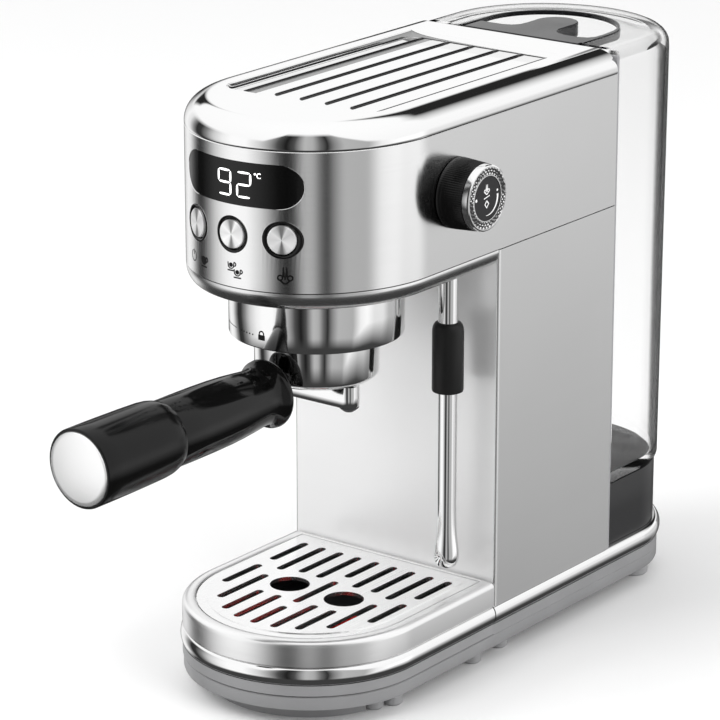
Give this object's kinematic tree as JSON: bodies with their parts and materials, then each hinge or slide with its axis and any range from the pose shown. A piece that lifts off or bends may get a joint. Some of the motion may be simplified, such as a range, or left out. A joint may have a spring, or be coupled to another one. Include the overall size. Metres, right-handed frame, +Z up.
{
  "type": "espresso machine",
  "caption": "Slim countertop espresso machine with a locking portafilter, swivelling steam wand, steam knob, press buttons, pull-out drip tray and lift-out water tank.",
  "frame": {"origin": "under the middle of the whole machine's box, on the surface that its feet stand on", "axes": "+Z up; -Y to the front, where the handle points; +X to the machine's right seen from the front, where the steam knob is"},
  "size_m": [0.1502, 0.4364, 0.3068],
  "materials": {
    "satin_steel": "brushed satin",
    "column_steel": "half polished",
    "polished_steel": "polished",
    "ring_steel": "brushed satin",
    "grid_steel": "brushed satin",
    "grey_plastic": "satin",
    "lip_grey": "satin",
    "dark_plastic": "satin",
    "tub_plastic": "satin",
    "foot_rubber": "smooth",
    "black_rubber": "smooth",
    "gloss_black": "gloss",
    "sleeve_black": "satin gloss",
    "chassis_paint": "matt",
    "wall_paint": "satin",
    "board_green": "satin",
    "cast_aluminium": "as cast",
    "screw_steel": "plain",
    "ceramic": "matt",
    "pump_brass": "plain",
    "coil_red": "satin",
    "hose_silicone": "smooth",
    "copper_pipe": "plain",
    "float_red": "gloss",
    "clear_plastic": "clear",
    "bridge_plastic": "satin gloss",
    "valve_white": "satin"
  },
  "bodies": {
    "machine": {"base_floor": "grey_plastic", "base_skirt": "grey_plastic", "base_band": "polished_steel", "feet": "foot_rubber", "chassis": "chassis_paint", "column_front": "column_steel", "side_panels": "satin_steel", "back_wall": "wall_paint", "head_shell": "satin_steel", "head_base": "lip_grey", "top_cover": "polished_steel", "cup_plate": "polished_steel", "display_window": "gloss_black", "control_board": "board_green", "button_bezels": "gloss_black", "group_collar": "polished_steel", "group_head": "cast_aluminium", "group_gasket": "black_rubber", "shower_screen": "ring_steel", "shower_screw": "screw_steel", "boiler_base": "cast_aluminium", "boiler_top": "cast_aluminium", "boiler_bolts": "screw_steel", "thermostat": "ceramic", "pump_body": "pump_brass", "pump_coil": "coil_red", "pump_mounts": "black_rubber", "power_board": "board_green", "steam_valve": "pump_brass", "water_hoses": "hose_silicone", "steam_pipe": "copper_pipe", "tank_seat": "dark_plastic", "cord_inlet": "dark_plastic", "case_screws": "screw_steel"},
    "left_button": {"button_left": "ring_steel"},
    "middle_button": {"button_middle": "ring_steel"},
    "right_button": {"button_right": "ring_steel"},
    "steam_knob": {"valve_stem": "pump_brass", "knob_body": "sleeve_black", "knob_ring": "polished_steel", "knob_disc": "gloss_black"},
    "wand_socket": {"wand_yoke": "dark_plastic"},
    "steam_wand": {"wand_pipe": "polished_steel", "wand_grip": "black_rubber", "wand_tip": "polished_steel"},
    "portafilter": {"portafilter_bowl": "polished_steel", "basket": "grid_steel", "spout": "polished_steel", "handle_bolt": "screw_steel", "handle_grip": "gloss_black", "handle_sleeve": "sleeve_black", "handle_cap": "ring_steel"},
    "drip_tray": {"tray_tub": "tub_plastic", "tray_band": "polished_steel", "tray_ring": "ring_steel"},
    "tray_grid": {"drip_grid": "grid_steel"},
    "level_float": {"tray_float": "float_red"},
    "water_tank": {"tank_body": "clear_plastic", "tank_handle": "bridge_plastic", "tank_valve": "valve_white"}
  },
  "joints": [
    {"name": "left_button_press", "type": "slide", "parent": "machine", "child": "left_button", "axis": [0.4274, 0.9041, 0], "range_m": [0, 0.0015], "stiffness_N_per_m": 300, "springref_m": -0.003},
    {"name": "middle_button_press", "type": "slide", "parent": "machine", "child": "middle_button", "axis": [0, 1, 0], "range_m": [0, 0.0015], "stiffness_N_per_m": 300, "springref_m": -0.003},
    {"name": "right_button_press", "type": "slide", "parent": "machine", "child": "right_button", "axis": [-0.4274, 0.9041, 0], "range_m": [0, 0.0015], "stiffness_N_per_m": 300, "springref_m": -0.003},
    {"name": "steam_knob_turn", "type": "hinge", "parent": "machine", "child": "steam_knob", "pos_m": [0.0559, -0.02025, 0.2614], "axis": [1, 0, 0], "range_deg": [0, 210]},
    {"name": "wand_swivel", "type": "hinge", "parent": "machine", "child": "wand_socket", "pos_m": [0.0375, -0.00005, 0.2195], "axis": [0, 0, 1], "range_deg": [-90, 0]},
    {"name": "wand_tilt", "type": "hinge", "parent": "wand_socket", "child": "steam_wand", "pos_m": [0.0375, -0.00005, 0.2195], "axis": [0, -1, 0], "range_deg": [0, 35]},
    {"name": "portafilter_lock", "type": "hinge", "parent": "machine", "child": "portafilter", "pos_m": [-0.0091, -0.04745, 0.18], "axis": [0, 0, 1], "range_deg": [-45, 0]},
    {"name": "tray_pull", "type": "slide", "parent": "machine", "child": "drip_tray", "axis": [0, -1, 0], "range_m": [0, 0.14]},
    {"name": "grid_lift", "type": "slide", "parent": "drip_tray", "child": "tray_grid", "axis": [0, 0, 1], "range_m": [0, 0.008]},
    {"name": "float_rise", "type": "slide", "parent": "drip_tray", "child": "level_float", "axis": [0, 0, 1], "range_m": [0, 0.01]},
    {"name": "tank_lift", "type": "slide", "parent": "machine", "child": "water_tank", "axis": [0, 0, 1], "range_m": [0, 0.1]}
  ]
}
